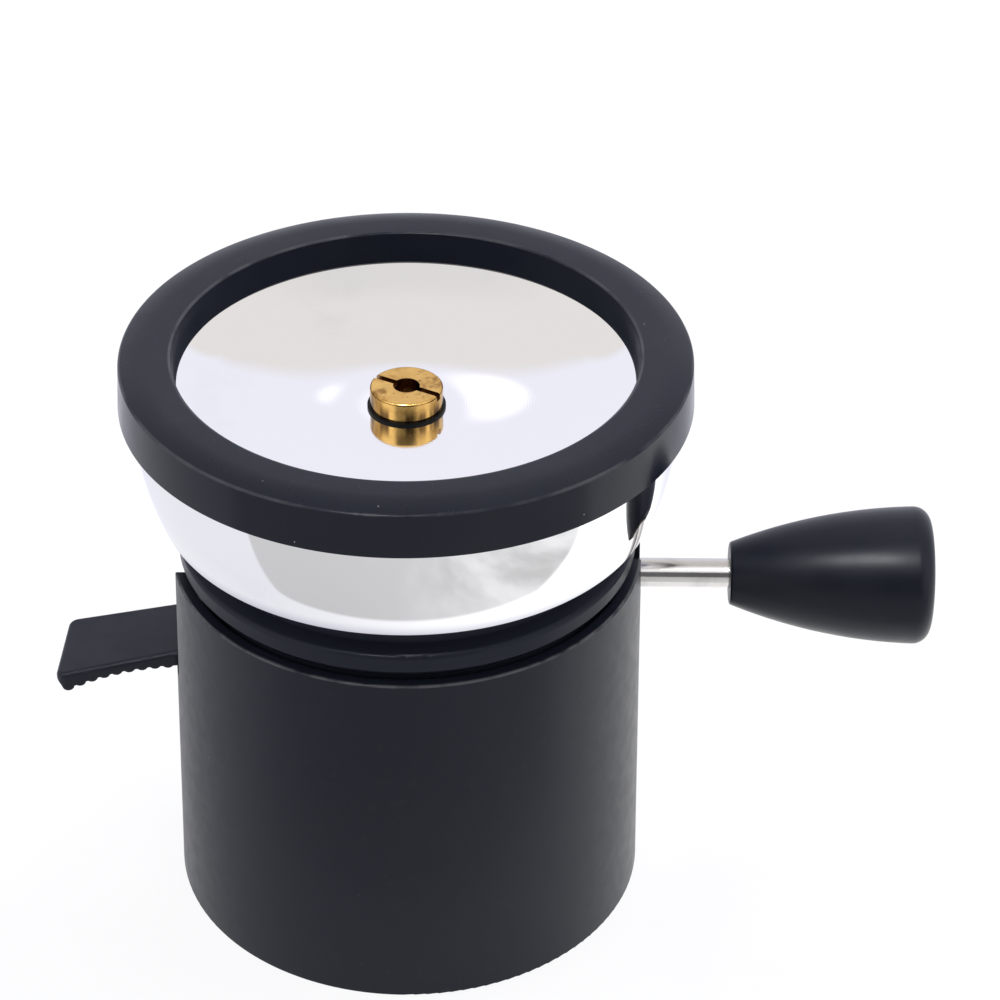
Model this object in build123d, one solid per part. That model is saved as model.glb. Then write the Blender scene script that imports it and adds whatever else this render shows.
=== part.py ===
from build123d import *
import math
import os

# Tabletop butane burner, standing on its windshield mouth as it does for refilling.
# Millimetres. Z runs up the burner's axis from the mouth plane, +X runs along the knob rod.

# Fits
seat_gap = 0.05
run_gap = 0.05
rod_room = 0.65
touch_gap = 0.15

# Windshield
shield_height = 59.2
shield_rim_radius = 36.0
shield_draft = 0.8
shield_wall = 2.0
shield_edge_round = 0.3
shelf_drop = 21.2
shelf_thickness = 2.0
shelf_lip = 3.5
slot_side_room = 0.8
slot_floor_room = 1.4
slot_corner_round = 1.2

# Heat shield and the screws that clamp it and the windshield to the posts
heat_shield_room = 1.5
heat_shield_thickness = 0.8
heat_shield_tube_room = 1.2
post_radius = 3.0
post_wall_room = 0.5
post_angles = (80, 225, 315)
screw_radius = 1.2
screw_grip = 9.0
screw_hole_room = 0.4
screw_head_radius = 2.5
screw_head_height = 1.8
screw_slot_width = 0.7
screw_slot_depth = 0.9

# Neck housing
neck_height = 9.7
neck_inset = 2.5
collar_rise = 4.5
collar_inset = 1.0
collar_crown = 0.9
collar_land = 2.6
collar_undercut = 2.0
collar_top_round = 0.9
collar_low_round = 0.3
skirt_room = 1.0
skirt_wall = 2.0
skirt_drop = 7.7

# Tank
bowl_radius = 41.0
bowl_wall = 1.0
bowl_depth = 18.1
bowl_side_radius = 46.0
bowl_corner_round = 1.6
rim_grip = 4.0
plate_thickness = 0.8
plate_land = 0.6
plate_dish_radius = 98.0
plate_edge_inset = 0.25

# Base ring
ring_height = 7.7
ring_overhang = 1.75
ring_flare = 0.3
ring_face_width = 8.25
ring_undercut = 0.6
ring_crown_width = 4.25
ring_crown_drop = 0.85
ring_outer_round = 0.4
ring_inner_round = 1.1

# Filler valve
gasket_overhang = 0.42
gasket_thickness = 0.35
filler_head_radius = 5.48
filler_head_height = 3.2
filler_head_round = 0.4
filler_slot_width = 1.0
filler_slot_depth = 1.0
filler_slot_angle = -28
filler_stem_radius = 3.45
filler_stem_length = 9.3
filler_port_radius = 2.0
filler_port_depth = 3.8
pin_pocket_radius = 1.6
pin_pocket_depth = 0.9
filler_web = 1.8
filler_chamber_radius = 2.6
filler_boss_wall = 1.75
filler_pin_radius = 1.25
pin_flange_room = 0.3
pin_flange_thickness = 0.8
pin_tail_radius = 0.85
seal_thickness = 0.75
retainer_thickness = 0.8
retainer_hole_radius = 1.2
filler_wire_radius = 0.2
filler_coil_radius = 1.6
filler_coil_turns = 3

# Valve block, bush and nut
rod_drop = 4.5
valve_radius = 7.0
valve_boss_radius = 5.0
valve_boss_length = 6.0
valve_crown = 0.8
valve_foot = 1.2
valve_stem_radius = 3.45
passage_radius = 1.2
spigot_length = 2.0
stem_seal_radius = 0.38
stem_groove_depth = 0.78
bush_wall = 2.5
bush_flange = 3.0
bush_flange_thickness = 1.5
nut_wall = 2.0
nut_thickness = 3.0
nut_room = 1.0
filter_length = 4.0
filter_seat_depth = 0.9

# Needle spindle, gland and rod
spindle_radius = 2.0
spindle_tail_radius = 1.5
needle_start = 0.8
needle_length = 2.2
spindle_seal_radius = 0.31
spindle_groove_depth = 0.64
spindle_seal_at = 6.0
gland_flats = 9.0
gland_head = 3.0
gland_thread_radius = 3.4
gland_thread_length = 4.0
shoulder_gap = 0.3
rod_radius = 2.27
rod_start_gap = 0.5
rod_socket_depth = 8.0
cross_pin_radius = 0.6
cross_pin_inset = 4.0

# Flame knob
rod_exposed = 13.7
knob_length = 31.3
knob_near_radius = 4.8
knob_middle_radius = 9.3
knob_far_radius = 10.66
knob_far_round = 2.6
knob_near_round = 0.5
knob_end_dome = 0.6
knob_bore_depth = 12.0

# Gas jet, mixing tube and burner head
jet_radius = 2.4
jet_thread_length = 3.0
jet_tip_radius = 1.5
jet_tip_length = 4.0
jet_orifice_radius = 0.25
tube_radius = 6.2
tube_wall = 0.7
air_hole_radius = 1.6
air_hole_drop = 6.0
air_hole_count = 4
face_recess = 15.2
bezel_thickness = 0.8
bezel_lip = 2.3
bezel_sleeve = 4.5
flame_plate_thickness = 2.0
flame_plate_step = 1.0
flame_hole_radius = 0.8
flame_hole_edge = 0.5
flame_hole_rings = 4
cup_radius = 15.0
cup_wall = 1.0
cup_depth = 6.0
cup_cone = 4.0
cup_neck = 5.0

# Ignition lever
lever_slope = 12.75
lever_drop = 15.84
lever_thickness = 2.9
lever_overhang = 18.75
lever_tip_width = 15.1
lever_wall_width = 13.6
lever_arm_width = 9.0
lever_neck_room = 3.0
lever_tip_skew = 0.75
lever_tip_land = 1.0
lever_tip_undercut = 1.5
lever_scoop = 1.29
lever_corner_round = 1.5
lever_edge_round = 0.8
lever_pivot_room = 4.0
lever_eye_radius = 3.0
lever_pin_radius = 1.25
lever_ear_thickness = 3.0
lever_ear_gap = 0.3
ridge_count = 9
ridge_pitch = 2.04
ridge_radius = 1.0
ridge_height = 0.38
ridge_start = 0.45

# Igniter
piezo_inset = 8.0
piezo_length = 12.0
piezo_radius = 4.6
piezo_lip = 1.0
piezo_end_wall = 2.0
piezo_socket_wall = 1.6
piezo_socket_depth = 5.0
plunger_radius = 3.0
plunger_neck_radius = 2.6
plunger_dome = 4.0
plunger_shoulder = 5.0
piezo_wire_radius = 0.2
piezo_coil_radius = 2.2
piezo_coil_turns = 2.5
electrode_angle = 120
electrode_standoff = 5.0
electrode_radius = 0.6
electrode_tip_gap = 2.6
electrode_bend = 2.0
electrode_overlap = 5.0
electrode_top_rise = 6.0
insulator_radius = 1.8
insulator_flange_radius = 2.7
insulator_flange = 1.5
insulator_drop = 17.0
insulator_rise = 3.0
insulator_room = 1.5
lead_radius = 0.9
lead_height = 7.0
lead_reach = 15.5

# Radii that follow from one another
shield_mouth_radius = shield_rim_radius + shield_draft
skirt_radius = shield_rim_radius - shield_wall - skirt_room
skirt_inner_radius = skirt_radius - skirt_wall
collar_radius = shield_rim_radius - collar_inset
neck_radius = collar_radius - neck_inset
post_circle_radius = skirt_inner_radius - post_radius - post_wall_room
shelf_inner_radius = post_circle_radius - shelf_lip
heat_shield_radius = shield_rim_radius - shield_wall - heat_shield_room
ring_outer_radius = bowl_radius + ring_overhang
ring_inner_radius = ring_outer_radius - ring_face_width
gasket_radius = filler_head_radius + gasket_overhang
plate_land_radius = gasket_radius + plate_land
filler_boss_radius = filler_stem_radius + filler_boss_wall
pin_flange_radius = filler_chamber_radius - pin_flange_room
bush_radius = valve_stem_radius + seat_gap + bush_wall
bush_flange_radius = bush_radius + bush_flange
nut_flats = 2 * (bush_radius + nut_wall)
tube_inner_radius = tube_radius - tube_wall
cup_inner_radius = cup_radius - cup_wall
cup_neck_inner = tube_radius + seat_gap
bezel_lip_radius = cup_radius - bezel_lip
flame_hole_pitch = (bezel_lip_radius - flame_hole_edge - flame_hole_radius) / flame_hole_rings
plate_radius = bowl_radius - bowl_wall - seat_gap
notch_radius = rod_radius + rod_room
electrode_circle_radius = cup_radius + electrode_standoff

# Levels and places worked out from the sizes above
rim_z = shield_height
shelf_top_z = rim_z - shelf_drop
shelf_z = shelf_top_z - shelf_thickness
heat_top_z = shelf_top_z + heat_shield_thickness
collar_z = rim_z + collar_rise
skirt_z = rim_z - skirt_drop
tank_floor_z = rim_z + neck_height
ring_bottom_z = tank_floor_z + bowl_depth
bowl_rim_z = ring_bottom_z + rim_grip
ring_top_z = ring_bottom_z + ring_height
plate_reach = plate_radius - plate_land_radius
plate_sag = plate_dish_radius - math.sqrt(plate_dish_radius**2 - plate_reach**2)
plate_z = bowl_rim_z - plate_edge_inset - plate_sag

rod_z = rim_z - rod_drop
valve_top_z = rod_z + valve_boss_radius + valve_crown
valve_bottom_z = rod_z - valve_boss_radius - valve_foot
ceiling_z = valve_top_z + nut_room + nut_thickness
bush_top_z = tank_floor_z + bowl_wall + bush_flange_thickness
stem_top_z = bush_top_z - filter_seat_depth
stem_seal_z = (valve_top_z + stem_top_z) / 2

head_bottom_z = plate_z + gasket_thickness
head_top_z = head_bottom_z + filler_head_height
filler_end_z = head_bottom_z - filler_stem_length
port_floor_z = head_top_z - filler_port_depth
web_top_z = port_floor_z - pin_pocket_depth
web_bottom_z = web_top_z - filler_web
seal_top_z = web_bottom_z - seat_gap
pin_flange_top_z = seal_top_z - seal_thickness
pin_flange_bottom_z = pin_flange_top_z - pin_flange_thickness
retainer_top_z = filler_end_z + retainer_thickness

cup_end_z = face_recess + bezel_thickness
plate_step_z = cup_end_z + flame_plate_thickness
cup_shoulder_z = cup_end_z + flame_plate_thickness + cup_depth
cup_neck_z = cup_shoulder_z + cup_cone
cup_top_z = cup_neck_z + cup_neck

lever_pivot_x = -valve_radius - lever_pivot_room
piezo_x = piezo_inset - skirt_inner_radius
lever_neck_x = piezo_x - lever_neck_room
lever_tip_x = -shield_rim_radius - lever_overhang
lever_tilt = math.tan(math.radians(lever_slope))
lever_wall_z = rim_z - lever_drop
lever_rise = lever_thickness / math.cos(math.radians(lever_slope))
pivot_z = lever_wall_z + (lever_pivot_x + shield_rim_radius) * lever_tilt - lever_rise / 2
slot_half_width = lever_wall_width / 2 + slot_side_room
slot_floor_z = lever_wall_z - lever_rise - slot_floor_room
piezo_bottom_z = ceiling_z - piezo_length
piezo_bore_top_z = ceiling_z - piezo_end_wall
plunger_lift = plunger_dome * (1 / math.cos(math.radians(lever_slope)) - 1)
plunger_z = lever_wall_z + (piezo_x + shield_rim_radius) * lever_tilt + plunger_lift + touch_gap
plunger_shoulder_z = piezo_bottom_z + piezo_lip + seat_gap
plunger_top_z = plunger_shoulder_z + plunger_shoulder
ear_inner_y = lever_arm_width / 2 + lever_ear_gap
ear_outer_y = ear_inner_y + lever_ear_thickness
electrode_top_z = heat_top_z + electrode_top_rise

valve_boss_reach = valve_radius + valve_boss_length
knob_near_x = shield_rim_radius + rod_exposed
gland_inner_x = valve_boss_reach - gland_thread_length
gland_outer_x = valve_boss_reach + gland_head
rod_start_x = gland_outer_x + rod_start_gap
rod_socket_x = rod_start_x + rod_socket_depth
rod_end_x = knob_near_x + knob_bore_depth - seat_gap
knob_far_x = knob_near_x + knob_length


def shield_radius(z):
    """Outer radius of the drafted windshield at a height."""
    return shield_mouth_radius + (shield_rim_radius - shield_mouth_radius) * z / shield_height


def plate_height(radius, below=0.0):
    """Height of the dished bottom plate at a radius, on its top or below it."""
    reach = max(radius - plate_land_radius, 0.0)
    dish = plate_dish_radius + below
    return plate_z + plate_dish_radius - math.sqrt(dish * dish - reach * reach)


def bowl_profile_radius(z, inset=0.0):
    """Radius of the tank's curved side at a height, outside or inset by its wall."""
    side = bowl_side_radius - inset
    return bowl_radius - bowl_side_radius + math.sqrt(side * side - (ring_bottom_z - z) ** 2)


def rounded(face, rounds):
    """A face with the corners nearest to the given points rounded."""
    for point, radius in rounds:
        corner = face.vertices().sort_by_distance((point[0], point[1], 0))[0]
        face = fillet(corner, radius)
    return face


def turned(*points, rounds=()):
    """A solid turned about the burner's axis from radius and height pairs."""
    face = rounded(make_face(Polyline(*points, close=True)), rounds)
    return revolve(Plane.XZ * face, Axis.Z)


rod_plane = Plane((0, 0, rod_z), x_dir=(1, 0, 0), z_dir=(0, -1, 0))
rod_axis = Axis((0, 0, rod_z), (1, 0, 0))


def turned_on_rod(outline, rounds=()):
    """A solid turned about the knob rod's axis from a closed outline of x and radius."""
    face = rounded(make_face(outline), rounds)
    return revolve(rod_plane * face, rod_axis)


def upright(radius, low, high, x=0.0, y=0.0):
    """A round bar along Z."""
    return Pos(x, y, low) * extrude(Circle(radius), high - low)


def bar_on_rod(radius, start, end):
    """A round bar along the knob rod's axis."""
    return extrude(Plane.YZ.offset(start) * Pos(0, rod_z) * Circle(radius), end - start)


def crossbar(radius, half_length, x, z):
    """A round bar along Y, centred on the XZ plane."""
    return extrude(Plane.ZX * Pos(z, x) * Circle(radius), half_length, both=True)


def on_circle(radius, angle):
    """X and Y of a point on a circle about the burner's axis."""
    return radius * math.cos(math.radians(angle)), radius * math.sin(math.radians(angle))


post_places = [on_circle(post_circle_radius, angle) for angle in post_angles]
electrode_place = on_circle(electrode_circle_radius, electrode_angle)


def coil_spring(coil_radius, wire_radius, low, high, turns):
    """A helical spring about Z, swept on biarcs of a quarter turn."""
    quarters = round(turns * 4)
    rise = (high - low - 2 * wire_radius) / (quarters * math.pi / 2)

    def point(angle):
        height = low + wire_radius + rise * angle
        return Vector(coil_radius * math.cos(angle), coil_radius * math.sin(angle), height)

    def heading(angle):
        way = Vector(-coil_radius * math.sin(angle), coil_radius * math.cos(angle), rise)
        return way.normalized()

    arcs = []
    for quarter in range(quarters):
        start = point(quarter * math.pi / 2)
        end = point((quarter + 1) * math.pi / 2)
        leave = heading(quarter * math.pi / 2)
        arrive = heading((quarter + 1) * math.pi / 2)
        span = end - start
        along = span.dot(leave + arrive)
        turn = 2 * (1 - leave.dot(arrive))
        reach = (math.sqrt(along * along + turn * span.dot(span)) - along) / turn
        middle = (start + end + (leave - arrive) * reach) * 0.5
        passing = (end - arrive * reach) - (start + leave * reach)
        arcs.append(TangentArc(start, middle, tangent=leave))
        arcs.append(TangentArc(middle, end, tangent=passing))
    steps = [index * math.pi / 16 for index in range(8 * quarters + 1)]
    apart = min((point(b) - point(a)).length for a in steps for b in steps if b - a > math.pi)
    print("spring, least gap between turns", round(apart - 2 * wire_radius, 2))
    section = Plane(point(0), z_dir=heading(0)) * Circle(wire_radius)
    return sweep(section, path=Wire(arcs))


# Windshield group


def make_windshield():
    wall_at_shelf = shield_radius(shelf_z) - shield_wall
    wall_at_top = shield_radius(shelf_top_z) - shield_wall
    mouth_inner = shield_mouth_radius - shield_wall
    rim_inner = shield_rim_radius - shield_wall
    body = turned(
        (mouth_inner, 0),
        (shield_mouth_radius, 0),
        (shield_rim_radius, rim_z),
        (rim_inner, rim_z),
        (wall_at_top, shelf_top_z),
        (shelf_inner_radius, shelf_top_z),
        (shelf_inner_radius, shelf_z),
        (wall_at_shelf, shelf_z),
        rounds=(
            ((mouth_inner, 0), shield_edge_round),
            ((shield_mouth_radius, 0), shield_edge_round),
            ((shield_rim_radius, rim_z), shield_edge_round),
            ((rim_inner, rim_z), shield_edge_round),
        ),
    )
    slot_height = 2 * (rim_z - slot_floor_z)
    slot = Pos(0, rim_z) * RectangleRounded(2 * slot_half_width, slot_height, slot_corner_round)
    body -= extrude(Plane.YZ * slot, -2 * shield_mouth_radius)
    notch = Pos(0, rod_z) * Circle(notch_radius)
    notch += Pos(0, rod_z) * Rectangle(2 * notch_radius, 2 * rod_drop, align=(Align.CENTER, Align.MIN))
    body -= extrude(Plane.YZ * notch, 2 * shield_mouth_radius)
    for x, y in post_places:
        body -= upright(screw_radius + screw_hole_room, shelf_z, shelf_top_z, x, y)
    return body - upright(insulator_radius + insulator_room, shelf_z, shelf_top_z, *electrode_place)


def make_heat_shield():
    disc = upright(heat_shield_radius, shelf_top_z, heat_top_z)
    disc -= upright(tube_radius + heat_shield_tube_room, shelf_top_z, heat_top_z)
    disc -= upright(insulator_radius + seat_gap, shelf_top_z, heat_top_z, *electrode_place)
    for x, y in post_places:
        disc -= upright(screw_radius + screw_hole_room, shelf_top_z, heat_top_z, x, y)
    return disc


def make_shield_screws():
    head_low_z = shelf_z - screw_head_height
    shank_top_z = heat_top_z + screw_grip
    screws = []
    for x, y in post_places:
        head = upright(screw_head_radius, head_low_z, shelf_z, x, y)
        slot = Box(screw_slot_width, 3 * screw_head_radius, 2 * screw_slot_depth)
        head -= Pos(x, y, head_low_z) * slot
        screws.append(head + upright(screw_radius, shelf_z, shank_top_z, x, y))
    return Compound(children=[screw.solid() for screw in screws])


# Neck housing


def make_neck_housing():
    bush_hole = bush_radius + seat_gap
    land_low = collar_z - collar_land
    body = turned(
        (bush_hole, ceiling_z),
        (skirt_inner_radius, ceiling_z),
        (skirt_inner_radius, skirt_z),
        (skirt_radius, skirt_z),
        (skirt_radius, land_low - collar_undercut),
        (collar_radius, land_low),
        (collar_radius, collar_z),
        (neck_radius, collar_z + collar_crown),
        (neck_radius, tank_floor_z),
        (bush_hole, tank_floor_z),
        rounds=(
            ((collar_radius, land_low), collar_low_round),
            ((collar_radius, collar_z), collar_top_round),
        ),
    )
    notch = Pos(0, rod_z) * Circle(notch_radius)
    notch += Pos(0, rod_z) * Rectangle(2 * notch_radius, 2 * skirt_drop, align=(Align.CENTER, Align.MAX))
    body -= extrude(Plane.YZ.offset(skirt_inner_radius / 2) * notch, collar_radius)
    for x, y in post_places:
        body += upright(post_radius, heat_top_z, ceiling_z, x, y)
        body -= upright(screw_radius + seat_gap, heat_top_z, heat_top_z + screw_grip + seat_gap, x, y)
    ear = Pos(pivot_z, lever_pivot_x) * Circle(lever_eye_radius)
    ear_length = ceiling_z - pivot_z
    ear += Pos(pivot_z, lever_pivot_x) * Rectangle(
        ear_length, 2 * lever_eye_radius, align=(Align.MIN, Align.CENTER)
    )
    for y in (ear_inner_y, -ear_outer_y):
        body += extrude(Plane.ZX.offset(y) * ear, lever_ear_thickness)
    body -= crossbar(lever_pin_radius + seat_gap, ear_outer_y, lever_pivot_x, pivot_z)
    socket_low_z = ceiling_z - piezo_socket_depth
    body += upright(piezo_radius + piezo_socket_wall, socket_low_z, ceiling_z, piezo_x)
    body -= upright(piezo_radius + seat_gap, socket_low_z, ceiling_z, piezo_x)
    return body


# Tank


def make_tank_bowl():
    hole = bush_radius + seat_gap
    inner_floor_z = tank_floor_z + bowl_wall
    middle_z = (tank_floor_z + ring_bottom_z) / 2
    floor_edge = (bowl_profile_radius(tank_floor_z), tank_floor_z)
    inner_edge = (bowl_profile_radius(inner_floor_z, bowl_wall), inner_floor_z)
    inner_wall = bowl_radius - bowl_wall
    outline = [
        Line((hole, tank_floor_z), floor_edge),
        ThreePointArc(floor_edge, (bowl_profile_radius(middle_z), middle_z), (bowl_radius, ring_bottom_z)),
        Polyline(
            (bowl_radius, ring_bottom_z),
            (bowl_radius, bowl_rim_z),
            (inner_wall, bowl_rim_z),
            (inner_wall, ring_bottom_z),
        ),
        ThreePointArc(
            (inner_wall, ring_bottom_z), (bowl_profile_radius(middle_z, bowl_wall), middle_z), inner_edge
        ),
        Polyline(inner_edge, (hole, inner_floor_z), (hole, tank_floor_z)),
    ]
    face = rounded(
        make_face(outline),
        ((floor_edge, bowl_corner_round), (inner_edge, bowl_corner_round - bowl_wall)),
    )
    return revolve(Plane.XZ * face, Axis.Z)


def make_bottom_plate():
    hole = filler_stem_radius + seat_gap
    below = plate_z - plate_thickness
    halfway = (plate_land_radius + plate_radius) / 2
    top_edge = (plate_radius, plate_height(plate_radius))
    low_edge = (plate_radius, plate_height(plate_radius, plate_thickness))
    outline = [
        Line((hole, plate_z), (plate_land_radius, plate_z)),
        ThreePointArc((plate_land_radius, plate_z), (halfway, plate_height(halfway)), top_edge),
        Line(top_edge, low_edge),
        ThreePointArc(
            low_edge, (halfway, plate_height(halfway, plate_thickness)), (plate_land_radius, below)
        ),
        Polyline((plate_land_radius, below), (hole, below), (hole, plate_z)),
    ]
    return revolve(Plane.XZ * make_face(outline), Axis.Z)


def make_base_ring():
    grip_outer = bowl_radius + seat_gap
    grip_inner = bowl_radius - bowl_wall - seat_gap
    grip_top_z = bowl_rim_z + seat_gap
    seat_inner = ring_inner_radius + ring_undercut
    seat = (seat_inner, plate_height(seat_inner) + seat_gap)
    lip = (ring_inner_radius, ring_top_z)
    land = (ring_outer_radius - ring_crown_width, ring_top_z)
    crease = (ring_outer_radius, ring_top_z - ring_crown_drop)
    outline = [
        Polyline(seat, lip, land),
        TangentArc(land, crease, tangent=(1, 0)),
        Polyline(
            crease,
            (ring_outer_radius + ring_flare, ring_bottom_z),
            (grip_outer, ring_bottom_z),
            (grip_outer, grip_top_z),
            (grip_inner, grip_top_z),
            (grip_inner, plate_height(grip_inner) + seat_gap),
            seat,
        ),
    ]
    face = rounded(make_face(outline), ((lip, ring_inner_round), (crease, ring_outer_round)))
    return revolve(Plane.XZ * face, Axis.Z)


# Filler valve


def make_filler_boss():
    top_z = plate_z - plate_thickness
    boss = upright(filler_boss_radius, filler_end_z, top_z)
    return boss - upright(filler_stem_radius + seat_gap, filler_end_z, top_z)


def make_filler_gasket():
    washer = upright(gasket_radius, plate_z, head_bottom_z)
    return washer - upright(filler_stem_radius + seat_gap, plate_z, head_bottom_z)


def make_filler_valve_body():
    guide = filler_pin_radius + run_gap
    body = turned(
        (filler_chamber_radius, filler_end_z),
        (filler_stem_radius, filler_end_z),
        (filler_stem_radius, head_bottom_z),
        (filler_head_radius, head_bottom_z),
        (filler_head_radius, head_top_z),
        (filler_port_radius, head_top_z),
        (filler_port_radius, port_floor_z),
        (pin_pocket_radius, port_floor_z),
        (pin_pocket_radius, web_top_z),
        (guide, web_top_z),
        (guide, web_bottom_z),
        (filler_chamber_radius, web_bottom_z),
        rounds=(((filler_head_radius, head_top_z), filler_head_round),),
    )
    slot = Box(3 * filler_head_radius, filler_slot_width, 2 * filler_slot_depth)
    return body - Pos(0, 0, head_top_z) * Rot(0, 0, filler_slot_angle) * slot


def make_filler_pin():
    tail_end_z = retainer_top_z
    return turned(
        (0, tail_end_z),
        (pin_tail_radius, tail_end_z),
        (pin_tail_radius, pin_flange_bottom_z),
        (pin_flange_radius, pin_flange_bottom_z),
        (pin_flange_radius, pin_flange_top_z),
        (filler_pin_radius, pin_flange_top_z),
        (filler_pin_radius, port_floor_z),
        (0, port_floor_z),
    )


def make_filler_seal():
    washer = upright(pin_flange_radius, pin_flange_top_z, seal_top_z)
    return washer - upright(filler_pin_radius + seat_gap, pin_flange_top_z, seal_top_z)


def make_filler_spring():
    return coil_spring(
        filler_coil_radius, filler_wire_radius, retainer_top_z, pin_flange_bottom_z, filler_coil_turns
    )


def make_filler_retainer():
    ring = upright(filler_chamber_radius - seat_gap, filler_end_z, retainer_top_z)
    return ring - upright(retainer_hole_radius, filler_end_z, retainer_top_z)


# Tank outlet and gas valve


def make_tank_bush():
    flange_z = tank_floor_z + bowl_wall
    bush = upright(bush_radius, valve_top_z, flange_z) + upright(bush_flange_radius, flange_z, bush_top_z)
    return bush - upright(valve_stem_radius + seat_gap, valve_top_z, bush_top_z)


def make_tank_nut():
    hexagon = RegularPolygon(nut_flats / 2, 6, major_radius=False)
    nut = Pos(0, 0, ceiling_z - nut_thickness) * extrude(hexagon, nut_thickness)
    return nut - upright(bush_radius + seat_gap, ceiling_z - nut_thickness, ceiling_z)


def make_tank_o_ring():
    ring_radius = valve_stem_radius + seat_gap - stem_seal_radius - seat_gap / 2
    return Pos(0, 0, stem_seal_z) * Torus(ring_radius, stem_seal_radius)


def make_fuel_filter():
    return upright(valve_stem_radius, stem_top_z, stem_top_z + filter_length)


def make_valve_block():
    groove_half = stem_seal_radius + seat_gap
    groove_radius = valve_stem_radius - stem_groove_depth
    block = turned(
        (0, valve_bottom_z - spigot_length),
        (tube_inner_radius - seat_gap, valve_bottom_z - spigot_length),
        (tube_inner_radius - seat_gap, valve_bottom_z),
        (valve_radius, valve_bottom_z),
        (valve_radius, valve_top_z),
        (valve_stem_radius, valve_top_z),
        (valve_stem_radius, stem_seal_z - groove_half),
        (groove_radius, stem_seal_z - groove_half),
        (groove_radius, stem_seal_z + groove_half),
        (valve_stem_radius, stem_seal_z + groove_half),
        (valve_stem_radius, stem_top_z),
        (0, stem_top_z),
    )
    block += bar_on_rod(valve_boss_radius, 0, valve_boss_reach)
    block -= bar_on_rod(spindle_radius + run_gap, 0, valve_boss_reach)
    block -= bar_on_rod(gland_thread_radius + seat_gap, gland_inner_x, valve_boss_reach)
    block -= upright(passage_radius, valve_bottom_z - spigot_length, stem_top_z)
    jet_seat_z = valve_bottom_z - spigot_length + jet_thread_length
    return block - upright(jet_radius + seat_gap, valve_bottom_z - spigot_length, jet_seat_z)


def make_gas_jet():
    thread_low_z = valve_bottom_z - spigot_length
    tip_z = thread_low_z - jet_tip_length
    jet = upright(jet_radius, thread_low_z, thread_low_z + jet_thread_length)
    jet += upright(jet_tip_radius, tip_z, thread_low_z)
    return jet - upright(jet_orifice_radius, tip_z, thread_low_z + jet_thread_length)


def make_gland_nut():
    hexagon = RegularPolygon(gland_flats / 2, 6, major_radius=False)
    nut = extrude(Plane.YZ.offset(valve_boss_reach) * Pos(0, rod_z) * hexagon, gland_head)
    nut += bar_on_rod(gland_thread_radius, gland_inner_x, valve_boss_reach)
    return nut - bar_on_rod(spindle_tail_radius + run_gap, gland_inner_x, gland_outer_x)


def make_needle_spindle():
    groove_half = spindle_seal_radius + seat_gap
    groove_radius = spindle_radius - spindle_groove_depth
    shoulder_x = gland_inner_x - shoulder_gap
    needle_x = needle_start + needle_length
    spindle = turned_on_rod(
        Polyline(
            (needle_start, 0),
            (needle_x, passage_radius - run_gap),
            (needle_x, spindle_radius),
            (spindle_seal_at - groove_half, spindle_radius),
            (spindle_seal_at - groove_half, groove_radius),
            (spindle_seal_at + groove_half, groove_radius),
            (spindle_seal_at + groove_half, spindle_radius),
            (shoulder_x, spindle_radius),
            (shoulder_x, spindle_tail_radius),
            (rod_socket_x - seat_gap, spindle_tail_radius),
            (rod_socket_x - seat_gap, 0),
            close=True,
        )
    )
    return spindle - cross_pin(cross_pin_radius + seat_gap, rod_radius)


def cross_pin(radius, half_length):
    """The pin, or its hole, that ties the spindle to the rod."""
    return upright(radius, rod_z - half_length, rod_z + half_length, rod_start_x + cross_pin_inset)


def make_spindle_o_ring():
    ring_radius = spindle_radius + run_gap - spindle_seal_radius - run_gap / 2
    ring = Torus(ring_radius, spindle_seal_radius)
    return Pos(spindle_seal_at, 0, rod_z) * Rot(0, 90, 0) * ring


def make_spindle_pin():
    return cross_pin(cross_pin_radius, rod_radius - seat_gap)


def make_knob_rod():
    rod = bar_on_rod(rod_radius, rod_start_x, rod_end_x)
    rod -= bar_on_rod(spindle_tail_radius + seat_gap, rod_start_x, rod_socket_x)
    return rod - cross_pin(cross_pin_radius + seat_gap, rod_radius)


def make_flame_knob():
    near = (knob_near_x, knob_near_radius)
    middle = (knob_near_x + knob_length / 2, knob_middle_radius)
    side_end_x = knob_far_x - knob_end_dome
    far = (side_end_x, knob_far_radius)
    dome = (knob_far_radius**2 + knob_end_dome**2) / (2 * knob_end_dome)
    half = knob_far_radius / 2
    half_sag = dome - math.sqrt(dome * dome - half * half)
    bore = rod_radius + seat_gap
    bore_end_x = knob_near_x + knob_bore_depth
    outline = [
        ThreePointArc(near, middle, far),
        ThreePointArc(far, (knob_far_x - half_sag, half), (knob_far_x, 0)),
        Polyline((knob_far_x, 0), (bore_end_x, 0), (bore_end_x, bore), (knob_near_x, bore), near),
    ]
    return turned_on_rod(outline, rounds=((far, knob_far_round), (near, knob_near_round)))


# Burner head


def make_mixing_tube():
    low_z = cup_neck_z + seat_gap
    tube = upright(tube_radius, low_z, valve_bottom_z)
    tube -= upright(tube_inner_radius, low_z, valve_bottom_z)
    hole = Pos(valve_bottom_z - air_hole_drop, 0) * Circle(air_hole_radius)
    for index in range(air_hole_count // 2):
        turn = 45 + 360 / air_hole_count * index
        tube -= Rot(0, 0, turn) * extrude(Plane.ZX * hole, 2 * tube_radius, both=True)
    return tube


def make_burner_cup():
    neck_outer = cup_neck_inner + cup_wall
    step_radius = cup_inner_radius - flame_plate_step
    throat = tube_inner_radius
    return turned(
        (cup_inner_radius, cup_end_z),
        (cup_radius, cup_end_z),
        (cup_radius, cup_shoulder_z),
        (neck_outer, cup_neck_z),
        (neck_outer, cup_top_z),
        (cup_neck_inner, cup_top_z),
        (cup_neck_inner, cup_neck_z),
        (throat, cup_neck_z),
        (throat, cup_neck_z - cup_wall),
        (step_radius, cup_shoulder_z - cup_wall),
        (step_radius, plate_step_z),
        (cup_inner_radius, plate_step_z),
    )


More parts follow.
